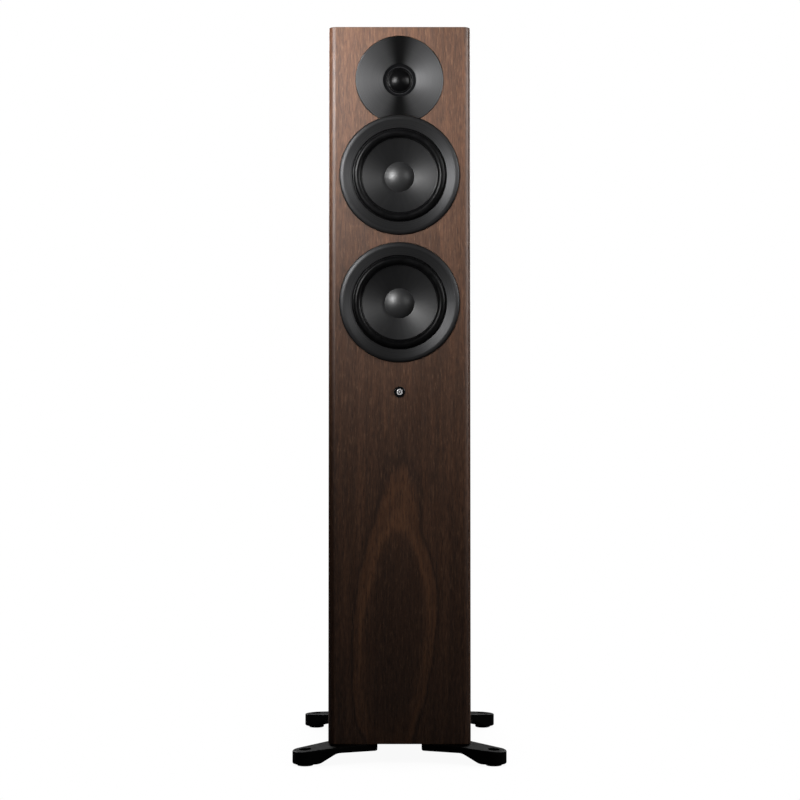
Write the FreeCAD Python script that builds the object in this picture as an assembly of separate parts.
"""Floorstanding loudspeaker: veneered cabinet, dome tweeter, two woofers, rear port and levelling feet.

Millimetres, +Z up. The origin is on the floor under the middle of the cabinet. The baffle faces -Y and
+X is to the right of someone looking at the baffle. Every driver is drawn as (radius, depth) outlines,
where depth is measured from the baffle's face into the cabinet, and is turned about the driver's axis.
"""

import FreeCAD
import Part
import math
import os

Vector = FreeCAD.Vector
ORIGIN = Vector(0, 0, 0)
ALONG_X = Vector(1, 0, 0)
ALONG_Y = Vector(0, 1, 0)
UP = Vector(0, 0, 1)

# ---- Driving dimensions -------------------------------------------------------------------------

# Cabinet
cabinet_width = 180.0
cabinet_depth = 270.0
cabinet_height = 908.0
floor_gap = 24.0
front_edge_radius = 9.0
rear_edge_radius = 2.5
top_edge_radius = 1.0
veneer = 0.6
baffle_thickness = 25.0
side_thickness = 18.0
top_thickness = 18.0
bottom_thickness = 22.0
rear_thickness = 18.0
brace_thickness = 15.0
brace_heights = (250.0, 480.0, 662.0)

# Where things sit on the baffle and the back, as heights above the floor
tweeter_height = 864.5
upper_woofer_height = 743.0
lower_woofer_height = 581.0
badge_height = 467.3
port_height = 370.0
terminal_height = 130.0

# Woofer, nominal 14 cm
trim_ring_radius = 76.2
woofer_recess_radius = 76.7
woofer_recess_depth = 5.0
woofer_cutout_radius = 64.0
flange_front = 1.5
flange_back = 4.0
flange_inner_radius = 57.6
flange_outer_radius = 74.6
surround_seat = 2.1
surround_seat_radius = 63.0
roll_centre_radius = 53.7
roll_radius = 4.9
surround_thickness = 0.6
cone_rim_radius = 49.4
cone_edge_radius = 47.2
cone_rim_depth = 2.5
cone_base_depth = 17.2
cone_thickness = 0.6
dust_dome_radius = 19.2
dust_dome_apex_depth = 10.0
former_inner_radius = 18.5
former_outer_radius = 18.9
winding_radius = 19.8
winding_start = 29.0
winding_end = 43.0
former_end = 45.0
spider_depth = 26.0
spider_outer_radius = 41.0
spider_thickness = 0.5
top_plate_start = 33.0
magnet_start = 39.0
magnet_end = 55.0
yoke_end = 62.0
magnet_radius = 45.0
motor_plate_radius = 43.0
coil_gap_radius = 20.3
pole_radius = 18.0
pole_vent_radius = 5.0
woofer_screw_count = 6
woofer_screw_circle_radius = 69.0
basket_arm_count = 6
basket_arm_width = 9.0

# Tweeter, 28 mm dome
faceplate_radius = 55.75
tweeter_recess_radius = 56.25
tweeter_recess_depth = 4.0
tweeter_cutout_radius = 36.0
faceplate_back = 2.0
faceplate_boss_radius = 30.5
faceplate_boss_depth = 7.0
throat_radius = 16.2
dome_radius = 13.7
dome_height = 6.2
dome_thickness = 0.3
dome_roll_rise = 0.9
dome_foot_radius = 29.5
tweeter_plate_start = 7.3
tweeter_magnet_start = 10.3
tweeter_magnet_end = 18.3
tweeter_yoke_end = 22.3
tweeter_pole_start = 8.0
tweeter_winding = (8.0, 11.2)
tweeter_former_end = 11.8
tweeter_motor_radius = 30.0
tweeter_gap_radius = 14.9
tweeter_pole_radius = 13.4
housing_radius = 35.0
housing_bore_radius = 31.0
housing_end = 47.0
tweeter_screw_circle_radius = 44.0

# Badge
badge_radius = 7.0
badge_proud = 1.0
badge_seat_depth = 2.0

# Countersunk wood screw, 4 x 20
screw_head_radius = 3.8
screw_head_length = 1.9
screw_shank_radius = 1.9
screw_length = 20.0
screw_hole_clearance = 0.05

# Rear terminals
cup_frame_width = 112.0
cup_frame_height = 84.0
cup_frame_thickness = 2.5
cup_dish_width = 84.0
cup_dish_height = 60.0
cup_wall = 2.0
cup_floor_outside = 11.5
cup_floor_thickness = 2.5
cup_screw_inset = 7.5
post_spacing = 38.1
post_radius = 3.0
post_bore_radius = 2.0
post_bore_depth = 19.0
post_flange_radius = 6.5
post_flange_thickness = 3.0
post_tail_length = 13.0
clamp_washer_radius = 7.0
clamp_washer_thickness = 1.5
terminal_nut_radius = 8.0
terminal_nut_length = 18.0
terminal_nut_flutes = 12
thread_clearance = 0.05

# Crossover board and wiring
board_thickness = 2.4
board_area = (-58.0, 58.0, -98.0, 88.0)
board_screw_inset = 6.0
cable_radius = 1.3
cable_elbow_radius = 1.5
cable_exit_y = 80.0
riser_y = 32.0
riser_spacing = 7.0
outer_riser_x = 48.0

# Reflex port
port_bore_radius = 27.0
port_wall = 3.0
port_flange_radius = 41.0
port_flange_recess = 3.5
port_flange_proud = 1.5
port_flare_radius = 13.0
port_length = 147.0
port_shoulder_radius = 35.0

# Outrigger feet
pad_x = 118.0
pad_y = 146.0
foot_tip_radius = 16.0
foot_top_at_tip = 17.7
foot_underside_at_tip = 2.5
foot_root_underside = 14.6
foot_rim_radius = 1.6
pad_radius = 10.5
pad_height = 6.0
pad_pocket_radius = 11.5
pad_pocket_top = 7.5
pad_socket_radius = 4.1
pad_socket_floor = 3.5
level_screw_radius = 4.0
level_screw_pitch = 1.25
level_screw_bottom = 3.6
level_screw_top = 17.2
level_screw_key_flats = 4.0
level_screw_key_depth = 5.0
spot_face_radius = 7.5
spot_face_height = 17.6
foot_bolt_radius = 3.0
foot_bolt_head_radius = 5.0
foot_bolt_head_height = 4.0
foot_bolt_top = 42.0
foot_bolt_sites = ((43.0, 102.0), (60.0, 77.0), (66.0, 103.0))

# ---- Places worked out from those ---------------------------------------------------------------

half_width = cabinet_width / 2
front_y = -cabinet_depth / 2
rear_y = cabinet_depth / 2
base_z = floor_gap
top_z = floor_gap + cabinet_height
inner_x = half_width - side_thickness
inner_front_y = front_y + baffle_thickness
inner_rear_y = rear_y - rear_thickness
inner_base_z = base_z + bottom_thickness
inner_top_z = top_z - top_thickness
woofer_heights = {"upper": upper_woofer_height, "lower": lower_woofer_height}
along_arm = Vector(-58.0, 46.0, 0).normalize()
across_arm = UP.cross(along_arm)
corners = {"front_right": (1, -1), "front_left": (-1, -1), "rear_right": (1, 1), "rear_left": (-1, 1)}
cup_floor_y = rear_y - cup_floor_outside
post_tip_y = cup_floor_y + post_flange_thickness + post_bore_depth
far = 1000.0


# ---- Drawing helpers ----------------------------------------------------------------------------


class Outline:
    """A closed outline in the XY plane, drawn edge by edge from its first point."""

    def __init__(self, x, y):
        self.first = Vector(x, y, 0)
        self.last = self.first
        self.edges = []

    def line(self, x, y):
        end = Vector(x, y, 0)
        self.edges.append(Part.makeLine(self.last, end))
        self.last = end
        return self

    def arc(self, via, end):
        via, end = Vector(*via, 0), Vector(*end, 0)
        self.edges.append(Part.Arc(self.last, via, end).toShape())
        self.last = end
        return self

    def curve(self, *points):
        spline = Part.BSplineCurve()
        spline.interpolate([self.last] + [Vector(*p, 0) for p in points])
        self.edges.append(spline.toShape())
        self.last = Vector(*points[-1], 0)
        return self

    def face(self):
        if (self.last - self.first).Length > 1e-6:
            self.line(self.first.x, self.first.y)
        return Part.Face(Part.Wire(self.edges))


def polygon(*points):
    outline = Outline(*points[0])
    for point in points[1:]:
        outline.line(*point)
    return outline


def rounded(*corners):
    """A closed outline through (x, y, radius) corners, with a tangent arc in place of every corner."""
    points = [Vector(x, y, 0) for x, y, _ in corners]
    outline = None
    for i, (x, y, radius) in enumerate(corners):
        to_last = (points[i - 1] - points[i]).normalize()
        to_next = (points[(i + 1) % len(points)] - points[i]).normalize()
        half_angle = to_last.getAngle(to_next) / 2
        setback = radius / math.tan(half_angle)
        middle = (to_last + to_next).normalize() * (radius / math.sin(half_angle) - radius)
        start, via, end = (points[i] + v for v in (to_last * setback, middle, to_next * setback))
        outline = outline.line(start.x, start.y) if outline else Outline(start.x, start.y)
        if radius:
            outline.arc((via.x, via.y), (end.x, end.y))
    return outline


def spin(outline, height, x=0.0):
    """Turns a (radius, depth) outline into a solid on the driver axis at that height on the baffle."""
    solid = outline.face().revolve(ORIGIN, ALONG_Y, 360)
    solid.translate(Vector(x, front_y, height))
    return solid


def ring(inner, outer, start, end, height):
    """A plain ring, or a disc if inner is 0, between two depths behind the baffle's face."""
    return spin(polygon((inner, start), (outer, start), (outer, end), (inner, end)), height)


def rod_y(radius, y_start, y_end, x, z):
    return Part.makeCylinder(radius, y_end - y_start, Vector(x, y_start, z), ALONG_Y)


def rod_z(radius, z_start, z_end, x, y):
    return Part.makeCylinder(radius, z_end - z_start, Vector(x, y, z_start), UP)


def box(x_range, y_range, z_range):
    (x0, x1), (y0, y1), (z0, z1) = x_range, y_range, z_range
    return Part.makeBox(x1 - x0, y1 - y0, z1 - z0, Vector(x0, y0, z0))


def runs_along(edge, axis):
    """Whether an edge is straight and parallel to an axis."""
    if len(edge.Vertexes) != 2 or edge.Curve.TypeId != "Part::GeomLine":
        return False
    direction = edge.Vertexes[1].Point - edge.Vertexes[0].Point
    return direction.normalize().cross(axis).Length < 1e-6


def edges_along(solid, axis):
    return [edge for edge in solid.Edges if runs_along(edge, axis)]


def rounded_box(x_range, y_range, z_range, radius, axis):
    """A box with the four edges that run along an axis rounded."""
    block = box(x_range, y_range, z_range)
    return block.makeFillet(radius, edges_along(block, axis))


def around(count, radius, first_angle=0.0):
    """(x, z) places evenly spaced on a circle that faces the front."""
    for i in range(count):
        angle = math.radians(first_angle + 360.0 * i / count)
        yield radius * math.cos(angle), radius * math.sin(angle)


def prism(flats, length, start):
    """A hexagonal bar across its flats, standing on a point and running upwards."""
    corner = flats / math.sqrt(3)
    points = [Vector(x, y, 0) + start for x, y in around(6, corner)]
    return Part.Face(Part.makePolygon(points + points[:1])).extrude(Vector(0, 0, length))


# ---- Wood screws --------------------------------------------------------------------------------


def wood_screw(clearance=0.0):
    """Countersunk screw along +Y with its head at the origin; with a clearance, the hole that takes it."""
    head = screw_head_radius + clearance
    shank = screw_shank_radius + clearance
    outline = polygon(
        (0, 0),
        (head, 0),
        (shank, screw_head_length),
        (shank, screw_length * 0.85),
        (0, screw_length + clearance),
    )
    return outline.face().revolve(ORIGIN, ALONG_Y, 360)


def screws_at(sites, clearance=0.0):
    """Screws, or their holes, at (head centre, direction) sites."""
    made = []
    for centre, direction in sites:
        screw = wood_screw(clearance)
        screw.Placement = FreeCAD.Placement(centre, FreeCAD.Rotation(ALONG_Y, direction))
        made.append(screw)
    return made


def woofer_screw_sites(height):
    head_y = front_y + flange_front
    for x, z in around(woofer_screw_count, woofer_screw_circle_radius, 30):
        yield Vector(x, head_y, height + z), ALONG_Y


def tweeter_screw_sites():
    head_y = front_y + faceplate_back
    for x, z in around(4, tweeter_screw_circle_radius, 45):
        yield Vector(x, head_y, tweeter_height + z), ALONG_Y


def cup_screw_sites():
    x = cup_frame_width / 2 - cup_screw_inset
    z = cup_frame_height / 2 - cup_screw_inset
    head_y = rear_y + cup_frame_thickness
    for sx in (-1, 1):
        for sz in (-1, 1):
            yield Vector(sx * x, head_y, terminal_height + sz * z), -ALONG_Y


def board_screw_sites():
    x0, x1, y0, y1 = board_area
    inset = board_screw_inset
    for x in (x0 + inset, x1 - inset):
        for y in (y0 + inset, y1 - inset):
            yield Vector(x, y, inner_base_z + board_thickness), -UP


def all_screw_sites():
    sites = list(tweeter_screw_sites()) + list(cup_screw_sites()) + list(board_screw_sites())
    for height in woofer_heights.values():
        sites += list(woofer_screw_sites(height))
    return sites


# ---- Cabinet ------------------------------------------------------------------------------------


def cabinet_block(inset):
    """The cabinet's outer form with every face but the underside moved in by inset."""
    x, y = half_width - inset, rear_y - inset
    block = box((-x, x), (-y, y), (base_z, top_z - inset))
    uprights = edges_along(block, UP)
    block = block.makeFillet(front_edge_radius - inset, [e for e in uprights if e.CenterOfMass.y < 0])
    uprights = [e for e in edges_along(block, UP) if e.CenterOfMass.y > y - 1]
    block = block.makeFillet(rear_edge_radius - inset, uprights)
    rim = [e for e in block.Edges if e.BoundBox.ZMin > top_z - inset - 1e-3]
    return block.makeFillet(top_edge_radius - inset, rim)


def front_recesses():
    """What the drivers and the badge need cut out of the veneer and the front of the baffle."""
    cuts = [ring(0, tweeter_recess_radius, -far, tweeter_recess_depth, tweeter_height)]
    for height in woofer_heights.values():
        cuts.append(ring(0, woofer_recess_radius, -far, woofer_recess_depth, height))
    cuts.append(ring(0, badge_radius + 0.05, -far, badge_seat_depth, badge_height))
    return cuts


def front_cutouts():
    cuts = [ring(0, tweeter_cutout_radius, 0, baffle_thickness + 1, tweeter_height)]
    for height in woofer_heights.values():
        cuts.append(ring(0, woofer_cutout_radius, 0, baffle_thickness + 1, height))
    return cuts


def rear_openings():
    """The port's hole and flange recess, and the terminal cup's hole."""
    hole = rod_y(port_shoulder_radius + 0.5, inner_rear_y - 1, far, 0, port_height)
    recess = rod_y(port_flange_radius + 0.5, rear_y - port_flange_recess, far, 0, port_height)
    x = cup_dish_width / 2 + 0.5
    z = cup_dish_height / 2 + 0.5
    cup = rounded_box(
        (-x, x), (inner_rear_y - 1, far), (terminal_height - z, terminal_height + z), 10.5, ALONG_Y
    )
    return [hole, recess, cup]


def veneer_wrap():
    """One continuous sheet over the front, sides, back and top, open at the drivers and terminals."""
    sheet = cabinet_block(0.0).cut(cabinet_block(veneer))
    screw_holes = screws_at(cup_screw_sites(), screw_hole_clearance)
    return sheet.cut(front_recesses() + rear_openings() + screw_holes)


def panel(core, x_range, y_range, z_range):
    """The share of the core block that one board fills."""
    return core.common(box(x_range, y_range, z_range))


def cabinet_panels():
    core = cabinet_block(veneer)
    wide = (-far, far)
    between_sides = (-inner_x, inner_x)
    between_ends = (inner_front_y, inner_rear_y)
    baffle = panel(core, wide, (-far, inner_front_y), wide)
    front_sites = [site for site in all_screw_sites() if site[1] == ALONG_Y]
    driver_holes = screws_at(front_sites, screw_hole_clearance)
    board_holes = screws_at(board_screw_sites(), screw_hole_clearance)
    cup_holes = screws_at(cup_screw_sites(), screw_hole_clearance)
    bottom = panel(core, between_sides, between_ends, (0, inner_base_z))
    rear = panel(core, wide, (inner_rear_y, far), wide)
    return {
        "front_baffle": baffle.cut(front_recesses() + front_cutouts() + driver_holes),
        "left_side_panel": panel(core, (-far, -inner_x), between_ends, wide),
        "right_side_panel": panel(core, (inner_x, far), between_ends, wide),
        "top_panel": panel(core, between_sides, between_ends, (inner_top_z, far)),
        "bottom_panel": bottom.cut(board_holes + foot_bolt_holes()),
        "rear_panel": rear.cut(rear_openings() + cup_holes),
    }


def window_braces():
    """Three frames that tie the four walls together, each with two rounded windows."""
    margin, bar, corner = 18.0, 16.0, 15.0
    x = inner_x - margin
    windows = (
        (inner_front_y + margin, -bar / 2),
        (bar / 2, inner_rear_y - margin),
    )
    braces = []
    for height in brace_heights:
        z0, z1 = height - brace_thickness / 2, height + brace_thickness / 2
        plate = box((-inner_x, inner_x), (inner_front_y, inner_rear_y), (z0, z1))
        holes = [rounded_box((-x, x), span, (z0 - 1, z1 + 1), corner, UP) for span in windows]
        braces.append(plate.cut(holes))
    return braces


def damping_wool():
    """Batts of polyester wool on the rear wall behind the woofers, and low down behind the baffle."""
    gap, thickness, corner = 3.0, 34.0, 8.0
    x = inner_x - gap
    rear = (inner_rear_y - gap / 2 - thickness, inner_rear_y - gap / 2)
    front = (inner_front_y + gap / 2, inner_front_y + gap / 2 + thickness)
    half = brace_thickness / 2 + gap
    low, middle, high = brace_heights
    batts = (
        (rear, (high + half, inner_top_z - gap)),
        (rear, (middle + half, high - half)),
        (front, (low + half, middle - half)),
    )
    made = []
    for y_range, z_range in batts:
        batt = box((-x, x), y_range, z_range)
        made.append(batt.makeFillet(corner, batt.Edges))
    return made


def badge():
    """Round badge pressed into the baffle, with an eased rim."""
    r, rim = badge_radius, 0.4
    outline = Outline(0, -badge_proud).line(r - rim, -badge_proud)
    outline.arc((r - rim * 0.3, -badge_proud + rim * 0.3), (r, -badge_proud + rim))
    outline.line(r, badge_seat_depth).line(0, badge_seat_depth)
    return spin(outline, badge_height)


# ---- Woofers ------------------------------------------------------------------------------------


def trim_ring(height):
    """Bevelled ring over the flange: it rises, rounds over, and slopes in to the surround."""
    r = trim_ring_radius
    outline = Outline(r, flange_front).line(r, -0.6)
    outline.arc((r - 1.0, -2.35), (r - 3.4, -3.4))
    outline.arc((r - 4.9, -3.62), (r - 6.4, -3.3))
    outline.line(61.0, -0.4)
    outline.arc((60.1, 0.1), (59.8, 0.9))
    outline.line(59.8, flange_front)
    return spin(outline, height)


def surround(height):
    """Rubber half roll with an outer foot in the basket and an inner lip on the cone."""
    c, r, t = roll_centre_radius, roll_radius, surround_thickness
    foot_outer = surround_seat_radius - 0.5
    crown = cone_rim_depth - t
    start = math.sqrt(r * r - (crown - flange_front) ** 2)
    outline = Outline(foot_outer, flange_front).line(c + start, flange_front)
    outline.arc((c, crown - r), (c - start, flange_front))
    outline.line(cone_edge_radius + 1.1, crown).line(cone_edge_radius, crown)
    outline.line(cone_edge_radius, cone_rim_depth).line(cone_rim_radius, cone_rim_depth)
    outline.line(c - r + t, crown)
    outline.arc((c, crown - r + t), (c + r - t, crown))
    outline.line(c + r - t, surround_seat).line(foot_outer, surround_seat)
    return spin(outline, height)


def sphere_radius(edge_radius, rise):
    """The radius of the sphere that a dome of that edge radius and rise is cut from."""
    return (edge_radius**2 + rise**2) / (2 * rise)


def cap_depth(radius, apex, sphere):
    """How deep a dome's surface is at a radius from its axis."""
    return apex + sphere - math.sqrt(sphere**2 - radius**2)


def cone(height):
    """One-piece moulded cone: flat rim, curved flank, and a convex dome over the voice coil."""
    t, base_back = cone_thickness, cone_base_depth + 0.8
    apex = dust_dome_apex_depth
    sphere = sphere_radius(dust_dome_radius, cone_base_depth - apex)
    inner = dust_dome_radius - 0.8
    middle = (cone_edge_radius + dust_dome_radius) / 2
    mid_depth = (cone_rim_depth + cone_base_depth) / 2 + 0.7
    outline = Outline(cone_rim_radius, cone_rim_depth).line(cone_edge_radius, cone_rim_depth)
    outline.curve((middle, mid_depth), (dust_dome_radius, cone_base_depth))
    outline.arc((dust_dome_radius / 2, cap_depth(dust_dome_radius / 2, apex, sphere)), (0, apex))
    outline.line(0, apex + t)
    outline.arc(
        (inner / 2, cap_depth(inner / 2, apex + t, sphere - t)),
        (inner, cap_depth(inner, apex + t, sphere - t)),
    )
    outline.line(inner, base_back).line(dust_dome_radius + 0.6, base_back)
    outline.curve((middle + 0.2, mid_depth + 0.8), (cone_edge_radius - 0.2, cone_rim_depth + 0.8))
    outline.line(cone_rim_radius, cone_rim_depth + t)
    return spin(outline, height)


def voice_coil(height):
    """Former tube under the cone's base, and the winding on its lower half."""
    former = ring(former_inner_radius, former_outer_radius, cone_base_depth + 0.8, former_end, height)
    winding = ring(former_outer_radius, winding_radius, winding_start, winding_end, height)
    return [former, winding]


def spider(height):
    """Corrugated centring disc from the former to the ledge in the basket."""
    first, pitch, waves, rise = 20.0, 2.3, 7, 0.7
    d, t = spider_depth, spider_thickness
    outline = Outline(former_outer_radius + 0.02, d).line(first, d)
    for i in range(waves):
        r = first + i * pitch
        side = rise if i % 2 else -rise
        outline.arc((r + pitch / 2, d + side), (r + pitch, d))
    outline.line(spider_outer_radius, d).line(spider_outer_radius, d + t)
    last = first + waves * pitch
    outline.line(last, d + t)
    for i in reversed(range(waves)):
        r = first + i * pitch
        side = rise if i % 2 else -rise
        outline.arc((r + pitch / 2, d + t + side), (r, d + t))
    outline.line(former_outer_radius + 0.02, d + t)
    return spin(outline, height)


def basket(height):
    """Cast frame: front flange with the surround's rabbet, six arms, and a ring that seats the motor."""
    flange = spin(
        polygon(
            (flange_inner_radius, surround_seat),
            (surround_seat_radius, surround_seat),
            (surround_seat_radius, flange_front),
            (flange_outer_radius, flange_front),
            (flange_outer_radius, flange_back),
            (flange_inner_radius, flange_back),
        ),
        height,
    )
    ledge = spider_depth + spider_thickness
    rear_ring = ring(37.0, 44.5, ledge, top_plate_start, height)
    arm_outline = polygon(
        (flange_inner_radius + 0.2, flange_back - 0.5),
        (woofer_cutout_radius - 0.8, flange_back - 0.5),
        (woofer_cutout_radius - 0.8, 11),
        (44.0, top_plate_start),
        (39.5, top_plate_start),
        (39.5, 29.0),
        (flange_inner_radius + 0.2, 8.0),
    )
    arms = []
    for i in range(basket_arm_count):
        arm = arm_outline.face().extrude(Vector(0, 0, basket_arm_width))
        arm.translate(Vector(0, 0, -basket_arm_width / 2))
        arm.rotate(ORIGIN, ALONG_Y, 360.0 * i / basket_arm_count)
        arm.translate(Vector(0, front_y, height))
        arms.append(arm)
    frame = flange.fuse([rear_ring] + arms).removeSplitter()
    return frame.cut(screws_at(woofer_screw_sites(height), screw_hole_clearance))


def gasket(height):
    """Foam ring between the flange and the floor of the recess."""
    flat = ring(woofer_cutout_radius + 1, flange_outer_radius, flange_back, woofer_recess_depth, height)
    return flat.cut(screws_at(woofer_screw_sites(height), screw_hole_clearance))


def woofer_top_plate(height):
    return ring(coil_gap_radius, motor_plate_radius, top_plate_start, magnet_start, height)


def woofer_magnet(height):
    """Ferrite ring with eased edges."""
    ease = 1.5
    return spin(
        polygon(
            (25.0, magnet_start),
            (magnet_radius - ease, magnet_start),
            (magnet_radius, magnet_start + ease),
            (magnet_radius, magnet_end - ease),
            (magnet_radius - ease, magnet_end),
            (25.0, magnet_end),
        ),
        height,
    )


def woofer_yoke(height):
    """Back plate and vented pole in one piece."""
    return spin(
        polygon(
            (pole_vent_radius, top_plate_start),
            (pole_radius, top_plate_start),
            (pole_radius, magnet_end),
            (motor_plate_radius, magnet_end),
            (motor_plate_radius, yoke_end - 1.5),
            (motor_plate_radius - 1.5, yoke_end),
            (pole_vent_radius + 3.0, yoke_end),
            (pole_vent_radius, yoke_end - 3.0),
        ),
        height,
    )


# ---- Tweeter ------------------------------------------------------------------------------------


def woofer_clearance(gap):
    """What the upper woofer's ring takes out of the tweeter's plate, with a hairline gap."""
    return ring(0, trim_ring_radius + gap, -far / 10, far / 10, upper_woofer_height)


def tweeter_faceplate():
    """Spun plate: a very shallow dish, a step at the throat, and a boss behind that clamps the motor."""
    r = faceplate_radius
    outline = Outline(r, faceplate_back).line(r, 0.0)
    outline.arc((r - 0.25, -0.4), (r - 0.8, -0.5))
    outline.curve((38.0, 0.6), (21.4, 2.6))
    outline.line(20.8, 3.5).line(17.6, 4.9)
    outline.arc((16.6, 5.6), (throat_radius, 6.4))
    outline.line(throat_radius, faceplate_boss_depth)
    outline.line(faceplate_boss_radius, faceplate_boss_depth)
    outline.line(faceplate_boss_radius, faceplate_back)
    return spin(outline, tweeter_height).cut(woofer_clearance(0.6))


def tweeter_dome():
    """Soft dome, its half roll, and the flat foot clamped between the plate's boss and the motor."""
    base, t = tweeter_plate_start, dome_thickness
    front = base - t
    apex = front - dome_height
    sphere = sphere_radius(dome_radius, dome_height)
    inner_edge = math.sqrt(2 * (sphere - t) * dome_height - dome_height**2)
    roll_start, roll_end = dome_radius + 0.6, throat_radius - 0.05
    roll_middle = (roll_start + roll_end) / 2
    crest = front - dome_roll_rise
    outline = Outline(0, apex + t).line(0, apex)
    outline.arc((dome_radius / 2, cap_depth(dome_radius / 2, apex, sphere)), (dome_radius, front))
    outline.line(roll_start, front).arc((roll_middle, crest), (roll_end, front))
    outline.line(dome_foot_radius, front).line(dome_foot_radius, base).line(roll_end - t, base)
    outline.arc((roll_middle, crest + t), (roll_start + t, base)).line(inner_edge, base)
    outline.arc((inner_edge / 2, cap_depth(inner_edge / 2, apex + t, sphere - t)), (0, apex + t))
    return spin(outline, tweeter_height)


def tweeter_voice_coil():
    """Former under the dome's rim, and a single short winding in the gap."""
    inside, outside = dome_radius + 0.05, dome_radius + 0.25
    former = ring(inside, outside, tweeter_plate_start, tweeter_former_end, tweeter_height)
    winding = ring(outside, dome_radius + 0.7, *tweeter_winding, tweeter_height)
    return [former, winding]


def tweeter_top_plate():
    start, end = tweeter_plate_start, tweeter_magnet_start
    return ring(tweeter_gap_radius, tweeter_motor_radius, start, end, tweeter_height)


def tweeter_magnet():
    start, end = tweeter_magnet_start, tweeter_magnet_end
    return ring(17.0, tweeter_motor_radius - 1, start, end, tweeter_height)


def tweeter_yoke():
    vent = 4.0
    return spin(
        polygon(
            (vent, tweeter_pole_start),
            (tweeter_pole_radius, tweeter_pole_start),
            (tweeter_pole_radius, tweeter_magnet_end),
            (tweeter_motor_radius, tweeter_magnet_end),
            (tweeter_motor_radius, tweeter_yoke_end),
            (vent, tweeter_yoke_end),
        ),
        tweeter_height,
    )


def tweeter_housing():
    """Cast rear chamber with the flange that is screwed to the baffle under the faceplate."""
    ledge = 26.0
    body = spin(
        polygon(
            (housing_bore_radius, faceplate_back),
            (54.0, faceplate_back),
            (54.0, tweeter_recess_depth),
            (housing_radius, tweeter_recess_depth),
            (housing_radius, housing_end - 2),
            (housing_radius - 2, housing_end),
            (0, housing_end),
            (0, housing_end - 3),
            (housing_bore_radius, housing_end - 3),
            (housing_bore_radius, tweeter_yoke_end + 3),
            (ledge, tweeter_yoke_end + 3),
            (ledge, tweeter_yoke_end),
            (housing_bore_radius, tweeter_yoke_end),
        ),
        tweeter_height,
    )
    holes = screws_at(tweeter_screw_sites(), screw_hole_clearance)
    return body.cut([woofer_clearance(1.0)] + holes)


# ---- Back of the cabinet ------------------------------------------------------------------------


def port_tube():
    """Flared reflex port: a flange let into the back, a straight duct, and a rounded inner mouth."""
    mouth_y = rear_y + port_flange_proud
    end_y = mouth_y - port_length
    bore, outside, flare = port_bore_radius, port_bore_radius + port_wall, port_flare_radius
    flare_centre = (bore + flare, mouth_y - flare)
    diagonal = flare * math.sqrt(0.5)
    back_y = rear_y - port_flange_recess
    outline = Outline(port_flange_radius, back_y).line(port_flange_radius, mouth_y - 0.6)
    outline.arc((port_flange_radius - 0.2, mouth_y - 0.15), (flare_centre[0], mouth_y))
    outline.arc((flare_centre[0] - diagonal, flare_centre[1] + diagonal), (bore, flare_centre[1]))
    outline.line(bore, end_y + port_wall / 2)
    outline.arc((bore + port_wall / 2, end_y), (outside, end_y + port_wall / 2))
    outline.line(outside, back_y - 12).line(port_shoulder_radius, back_y)
    tube = outline.face().revolve(ORIGIN, ALONG_Y, 360)
    tube.translate(Vector(0, 0, port_height))
    return tube


def terminal_cup():
    """Moulded dish let into the back, with a frame that the screws hold."""
    outer_x, outer_z = cup_frame_width / 2, cup_frame_height / 2
    dish_x, dish_z = cup_dish_width / 2, cup_dish_height / 2
    frame_y = rear_y + cup_frame_thickness
    low_y = cup_floor_y - cup_floor_thickness

    def slab(x, z, y_range, radius):
        z_range = (terminal_height - z, terminal_height + z)
        return rounded_box((-x, x), y_range, z_range, radius, ALONG_Y)

    frame = slab(outer_x, outer_z, (rear_y, frame_y), 12.0)
    rim = [e for e in frame.Edges if e.BoundBox.YMin > frame_y - 1e-3]
    frame = frame.makeFillet(1.0, rim)
    dish = slab(dish_x, dish_z, (low_y, rear_y), 10.0)
    hollow = slab(dish_x - cup_wall, dish_z - cup_wall, (cup_floor_y, frame_y + 1), 8.0)
    holes = [
        rod_y(post_radius + 0.1, low_y - 1, cup_floor_y + 1, x, terminal_height)
        for x in (-post_spacing / 2, post_spacing / 2)
    ]
    return frame.fuse(dish).cut([hollow] + holes + screws_at(cup_screw_sites(), screw_hole_clearance))


def binding_post(x):
    """Threaded post with a collar outside, a hexagon nut inside, and a 4 mm plug socket in its end."""
    low_y = cup_floor_y - cup_floor_thickness
    shaft = rod_y(post_radius, cup_floor_y - post_tail_length, post_tip_y, x, terminal_height)
    collar = rod_y(post_flange_radius, cup_floor_y, cup_floor_y + post_flange_thickness, x, terminal_height)
    nut = prism(10.0, 4.0, ORIGIN)
    nut.rotate(ORIGIN, ALONG_X, 90)
    nut.translate(Vector(x, low_y, terminal_height))
    socket = rod_y(post_bore_radius, post_tip_y - post_bore_depth, post_tip_y + 1, x, terminal_height)
    return shaft.fuse([collar, nut]).removeSplitter().cut(socket)


def clamp_washer(x):
    """Loose collar between the post's collar and the nut. It slides with the nut and doesn't turn."""
    start = cup_floor_y + post_flange_thickness
    disc = rod_y(clamp_washer_radius, start, start + clamp_washer_thickness, x, terminal_height)
    hole = rod_y(post_radius + thread_clearance, start - 1, start + 3, x, terminal_height)
    return disc.cut(hole)


def terminal_nut(x):
    """Fluted thumb nut on the post's thread, open at both ends so that a plug can pass."""
    start = cup_floor_y + post_flange_thickness + clamp_washer_thickness
    end = start + terminal_nut_length
    body = rod_y(terminal_nut_radius, start, end, x, terminal_height)
    body = body.makeChamfer(0.8, [e for e in body.Edges if e.Curve.TypeId == "Part::GeomCircle"])
    flutes = [
        rod_y(1.1, start + 3.0, end - 2.2, x + fx, terminal_height + fz)
        for fx, fz in around(terminal_nut_flutes, terminal_nut_radius + 0.4)
    ]
    thread = rod_y(post_radius + thread_clearance, start - 1, end + 1, x, terminal_height)
    return body.cut(flutes + [thread])


# ---- Crossover and wiring -----------------------------------------------------------------------


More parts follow.
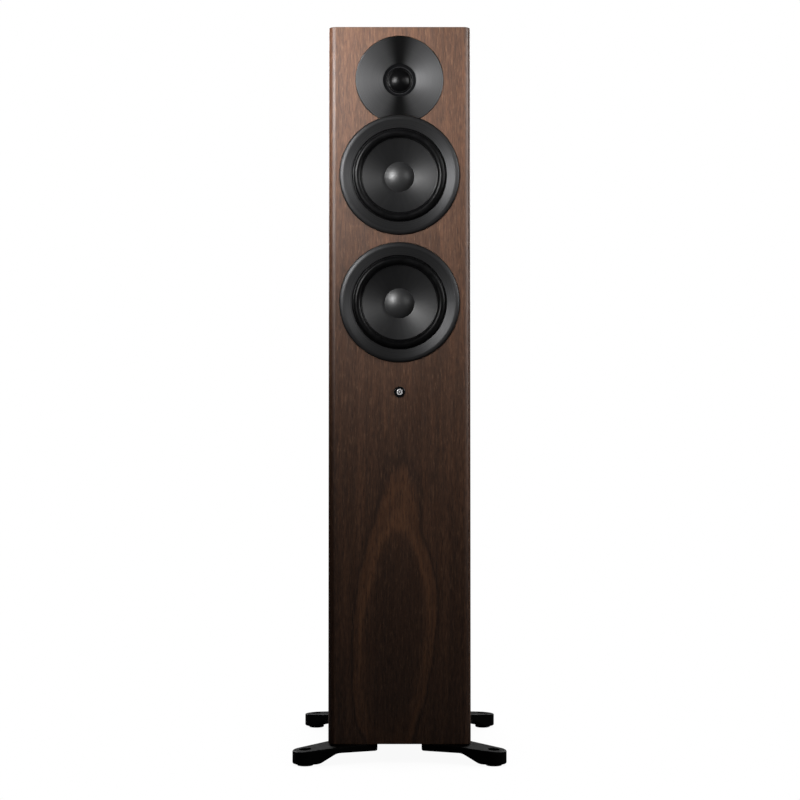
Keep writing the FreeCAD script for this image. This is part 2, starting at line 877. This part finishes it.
def crossover_board():
    x0, x1, y0, y1 = board_area
    z0 = inner_base_z
    board = rounded_box((x0, x1), (y0, y1), (z0, z0 + board_thickness), 4.0, UP)
    return board.cut(screws_at(board_screw_sites(), screw_hole_clearance))


def crossover_coils():
    """Two air-cored coils lying flat and one on edge, at right angles, so that they don't couple."""
    z0 = inner_base_z + board_thickness
    sizes = ((-26.0, -58.0, 28.0, 11.0, 26.0), (30.0, 46.0, 24.0, 10.0, 22.0))
    flat = []
    for x, y, outer, inner, tall in sizes:
        flat.append(rod_z(outer, z0, z0 + tall, x, y).cut(rod_z(inner, z0 - 1, z0 + tall + 1, x, y)))
    radius, core, width = 17.0, 7.0, 20.0
    centre = Vector(24.0, -40.0, z0 + radius)
    upright = Part.makeCylinder(radius, width, centre, ALONG_X)
    upright = upright.cut(Part.makeCylinder(core, width + 2, centre - ALONG_X, ALONG_X))
    return flat + [upright]


def crossover_capacitors():
    """Film capacitors lying on the board."""
    z0 = inner_base_z + board_thickness
    sizes = (
        (-38.0, 0.0, 13.0, 48.0),
        (-10.0, 0.0, 11.0, 42.0),
        (-40.0, 58.0, 9.5, 36.0),
        (-18.0, 58.0, 9.5, 36.0),
    )
    made = []
    for x, y, radius, length in sizes:
        can = rod_y(radius, y - length / 2, y + length / 2, x, z0 + radius)
        made.append(can.makeFillet(1.5, [e for e in can.Edges if e.Curve.TypeId == "Part::GeomCircle"]))
    return made


def crossover_resistors():
    """Ceramic power resistors in a row."""
    z0 = inner_base_z + board_thickness
    long, wide, tall, pitch = 42.0, 9.0, 9.0, 13.0
    made = []
    for i in range(3):
        x = 14.0 + i * pitch
        made.append(box((x, x + wide), (-22.0, -22.0 + long), (z0, z0 + tall)))
    return made


def cable(points):
    """A round cable of straight runs, with a rounded elbow wherever it turns."""
    points = [Vector(*p) for p in points]
    runs = [Part.makeCylinder(cable_radius, (b - a).Length, a, b - a) for a, b in zip(points, points[1:])]
    elbows = [Part.makeSphere(cable_elbow_radius, p) for p in points[1:-1]]
    return runs[0].fuse(runs[1:] + elbows)


def terminal_leads():
    """A cable from each binding post's tail down to the back edge of the board."""
    board_top = inner_base_z + board_thickness + 0.2
    tail_y = cup_floor_y - post_tail_length - 0.2
    for side in (-1.0, 1.0):
        x, foot_x = side * post_spacing / 2, side * 10.0
        yield cable(
            [
                (x, tail_y, terminal_height),
                (x, tail_y - 12.0, terminal_height),
                (foot_x, cable_exit_y, board_top + 14.0),
                (foot_x, cable_exit_y, board_top),
            ]
        )


def driver_leads():
    """A pair of cables from the board to each driver, up through the braces' rear windows past the port."""
    board_top = inner_base_z + board_thickness + 0.2
    basket_y = front_y + top_plate_start
    ends = (
        (51.0, basket_y, lower_woofer_height - 16.0),
        (51.0, basket_y, upper_woofer_height - 16.0),
        (8.0, front_y + housing_end + 0.2, tweeter_height),
    )
    for i, (end_x, end_y, height) in enumerate(ends):
        for offset in (-1.7, 1.7):
            x = outer_riser_x - i * riser_spacing + offset
            yield cable(
                [
                    (x, cable_exit_y, board_top),
                    (x, cable_exit_y, board_top + 14.0),
                    (x, riser_y, 140.0),
                    (x, riser_y, height - 60.0),
                    (end_x + offset, end_y + 12.0, height),
                    (end_x + offset, end_y, height),
                ]
            )


def wiring_harness():
    return list(terminal_leads()) + list(driver_leads())


# ---- Feet ---------------------------------------------------------------------------------------


def tangent_point(start, centre, radius, side):
    """Where a line from start touches a circle; side +1 or -1 picks which of the two."""
    to_start = math.atan2(start[1] - centre[1], start[0] - centre[0])
    distance = math.dist(start, centre)
    angle = to_start + side * math.acos(radius / distance)
    return centre[0] + radius * math.cos(angle), centre[1] + radius * math.sin(angle)


def foot_plan():
    """The casting from above, as an upright bar: a broad root that narrows to a round tip."""
    tip = (pad_x, -pad_y)
    root_front, root_waist = (28.0, -129.7), (88.0, -103.0)
    front_touch = tangent_point(root_front, tip, foot_tip_radius, 1)
    side_touch = tangent_point(root_waist, tip, foot_tip_radius, -1)
    tip_end = (pad_x + foot_tip_radius * 0.8, -pad_y - foot_tip_radius * 0.6)
    outline = Outline(*root_front).line(*front_touch)
    outline.arc(tip_end, side_touch)
    outline.line(*root_waist).line(70.0, -68.0).line(45.0, -68.0).line(28.0, -112.0)
    bar = outline.face().extrude(Vector(0, 0, 40))
    for x, radius in ((28.0, 5.0), (45.0, 9.0), (70.0, 9.0), (88.0, 25.0)):
        corner = [e for e in edges_along(bar, UP) if abs(e.CenterOfMass.x - x) < 0.1]
        bar = bar.makeFillet(radius, corner)
    return bar


def foot_side():
    """The casting from the side, as a level bar: a thin root that slopes down and deepens to the tip."""
    outline = rounded(
        (-24.0, foot_top_at_tip, 0),
        (-24.0, foot_underside_at_tip, 0),
        (9.0, foot_underside_at_tip, 16.0),
        (31.0, foot_root_underside, 16.0),
        (130.0, foot_root_underside, 0),
        (130.0, floor_gap, 0),
        (56.0, floor_gap, 120.0),
    )
    face = outline.face()
    face.rotate(ORIGIN, ALONG_X, 90)
    bar = face.extrude(Vector(0, 180, 0))
    bar.translate(Vector(0, -90, 0))
    bar.rotate(ORIGIN, UP, math.degrees(math.atan2(along_arm.y, along_arm.x)))
    bar.translate(Vector(pad_x, -pad_y, 0))
    return bar


def outrigger_foot():
    """The front right casting, with its bolt holes, the levelling screw's thread and the pad's pocket."""
    casting = foot_plan().common(foot_side())
    rims = [e for e in casting.Edges if not runs_along(e, UP) and not runs_along(e, across_arm)]
    casting = casting.makeFillet(foot_rim_radius, rims)
    cuts = [
        rod_z(level_screw_radius + thread_clearance, 0, 40, pad_x, -pad_y),
        rod_z(pad_pocket_radius, -1, pad_pocket_top, pad_x, -pad_y),
        rod_z(spot_face_radius, spot_face_height, 40, pad_x, -pad_y),
    ]
    head_top = foot_root_underside + foot_bolt_head_height
    for x, y in foot_bolt_sites:
        cuts.append(rod_z(foot_bolt_radius + 0.2, 0, 40, x, -y))
        cuts.append(rod_z(foot_bolt_head_radius + 0.3, 0, head_top, x, -y))
    return casting.cut(cuts)


def levelling_pad():
    """Rubber pad with a socket for the screw's end, standing on the floor under the front right foot."""
    ease = 0.8
    outline = polygon(
        (0, 0),
        (pad_radius - ease, 0),
        (pad_radius, ease),
        (pad_radius, pad_height - ease),
        (pad_radius - ease, pad_height),
        (pad_socket_radius, pad_height),
        (pad_socket_radius, pad_socket_floor),
        (0, pad_socket_floor),
    )
    return stand_at_pad(outline)


def levelling_screw():
    """Threaded stud with a domed end below and a hexagon socket on top."""
    r, groove = level_screw_radius, 0.55
    half = level_screw_pitch / 2
    outline = Outline(0, level_screw_bottom)
    outline.arc((2.2, level_screw_bottom + 0.35), (r - groove, level_screw_bottom + 1.2))
    z = level_screw_bottom + 1.8
    outline.line(r - groove, z)
    while z + level_screw_pitch < level_screw_top - 0.6:
        outline.line(r, z + half)
        z += level_screw_pitch
        outline.line(r - groove, z)
    outline.line(r - groove, level_screw_top).line(0, level_screw_top)
    stud = stand_at_pad(outline)
    key_base = Vector(pad_x, -pad_y, level_screw_top - level_screw_key_depth)
    return stud.cut(prism(level_screw_key_flats, level_screw_key_depth + 1, key_base))


def stand_at_pad(outline):
    """Turns a (radius, height) outline about the upright axis of the front right pad."""
    solid = outline.face().revolve(ORIGIN, ALONG_Y, 360)
    solid.rotate(ORIGIN, ALONG_X, 90)
    solid.translate(Vector(pad_x, -pad_y, 0))
    return solid


def foot_bolt(x, y):
    """Socket-head bolt up through a foot into the bottom panel."""
    head_z = foot_root_underside
    shank_z = head_z + foot_bolt_head_height
    head = rod_z(foot_bolt_head_radius, head_z, shank_z, x, y)
    shank = rod_z(foot_bolt_radius, shank_z, foot_bolt_top, x, y)
    return head.fuse(shank).removeSplitter().cut(prism(5.0, 2.8, Vector(x, y, head_z - 0.2)))


def foot_bolt_holes():
    holes = []
    for sx, sy in corners.values():
        for x, y in foot_bolt_sites:
            holes.append(rod_z(foot_bolt_radius + 0.05, 0, foot_bolt_top + 1, sx * x, sy * y))
    return holes


def at_corner(front_right_shape, corner):
    """Mirrors a shape drawn at the front right to another corner."""
    sx, sy = corners[corner]
    shape = front_right_shape.copy()
    if sx < 0:
        shape = shape.mirror(ORIGIN, ALONG_X)
    if sy > 0:
        shape = shape.mirror(ORIGIN, ALONG_Y)
    return shape


# ---- Assembly -----------------------------------------------------------------------------------


def build():
    parts = {"veneer_wrap": veneer_wrap(), **cabinet_panels()}
    parts["window_braces"] = window_braces()
    parts["damping_wool"] = damping_wool()
    parts["badge"] = badge()

    for name, height in woofer_heights.items():
        parts[f"{name}_woofer_trim_ring"] = trim_ring(height)
        parts[f"{name}_woofer_surround"] = surround(height)
        parts[f"{name}_woofer_cone"] = cone(height)
        parts[f"{name}_woofer_voice_coil"] = voice_coil(height)
        parts[f"{name}_woofer_spider"] = spider(height)
        parts[f"{name}_woofer_basket"] = basket(height)
    heights = woofer_heights.values()
    parts["woofer_gaskets"] = [gasket(h) for h in heights]
    parts["woofer_top_plates"] = [woofer_top_plate(h) for h in heights]
    parts["woofer_magnets"] = [woofer_magnet(h) for h in heights]
    parts["woofer_yokes"] = [woofer_yoke(h) for h in heights]

    parts["tweeter_faceplate"] = tweeter_faceplate()
    parts["tweeter_dome"] = tweeter_dome()
    parts["tweeter_voice_coil"] = tweeter_voice_coil()
    parts["tweeter_top_plate"] = tweeter_top_plate()
    parts["tweeter_magnet"] = tweeter_magnet()
    parts["tweeter_yoke"] = tweeter_yoke()
    parts["tweeter_housing"] = tweeter_housing()

    parts["port_tube"] = port_tube()
    parts["terminal_cup"] = terminal_cup()
    for colour, x in (("black", -post_spacing / 2), ("red", post_spacing / 2)):
        parts[f"{colour}_binding_post"] = binding_post(x)
        parts[f"{colour}_clamp_washer"] = clamp_washer(x)
        parts[f"{colour}_terminal_nut"] = terminal_nut(x)

    parts["crossover_board"] = crossover_board()
    parts["crossover_coils"] = crossover_coils()
    parts["crossover_capacitors"] = crossover_capacitors()
    parts["crossover_resistors"] = crossover_resistors()
    parts["wiring_harness"] = wiring_harness()
    parts["wood_screws"] = screws_at(all_screw_sites())

    foot, pad, screw = outrigger_foot(), levelling_pad(), levelling_screw()
    bolts = []
    for corner, (sx, sy) in corners.items():
        parts[f"{corner}_foot"] = at_corner(foot, corner)
        parts[f"{corner}_pad"] = at_corner(pad, corner)
        parts[f"{corner}_level_screw"] = at_corner(screw, corner)
        bolts += [foot_bolt(sx * x, sy * y) for x, y in foot_bolt_sites]
    parts["foot_bolts"] = bolts
    return parts


def write(parts):
    os.makedirs("parts", exist_ok=True)
    for name, made in parts.items():
        shape = Part.makeCompound(made) if isinstance(made, list) else made
        for solid in shape.Solids:
            if not solid.isValid() or solid.Volume <= 0:
                print("check", name, "valid:", solid.isValid(), "volume:", round(solid.Volume, 2))
        shape.exportStep(f"parts/{name}.step")
    print(len(parts), "nodes written")


write(build())
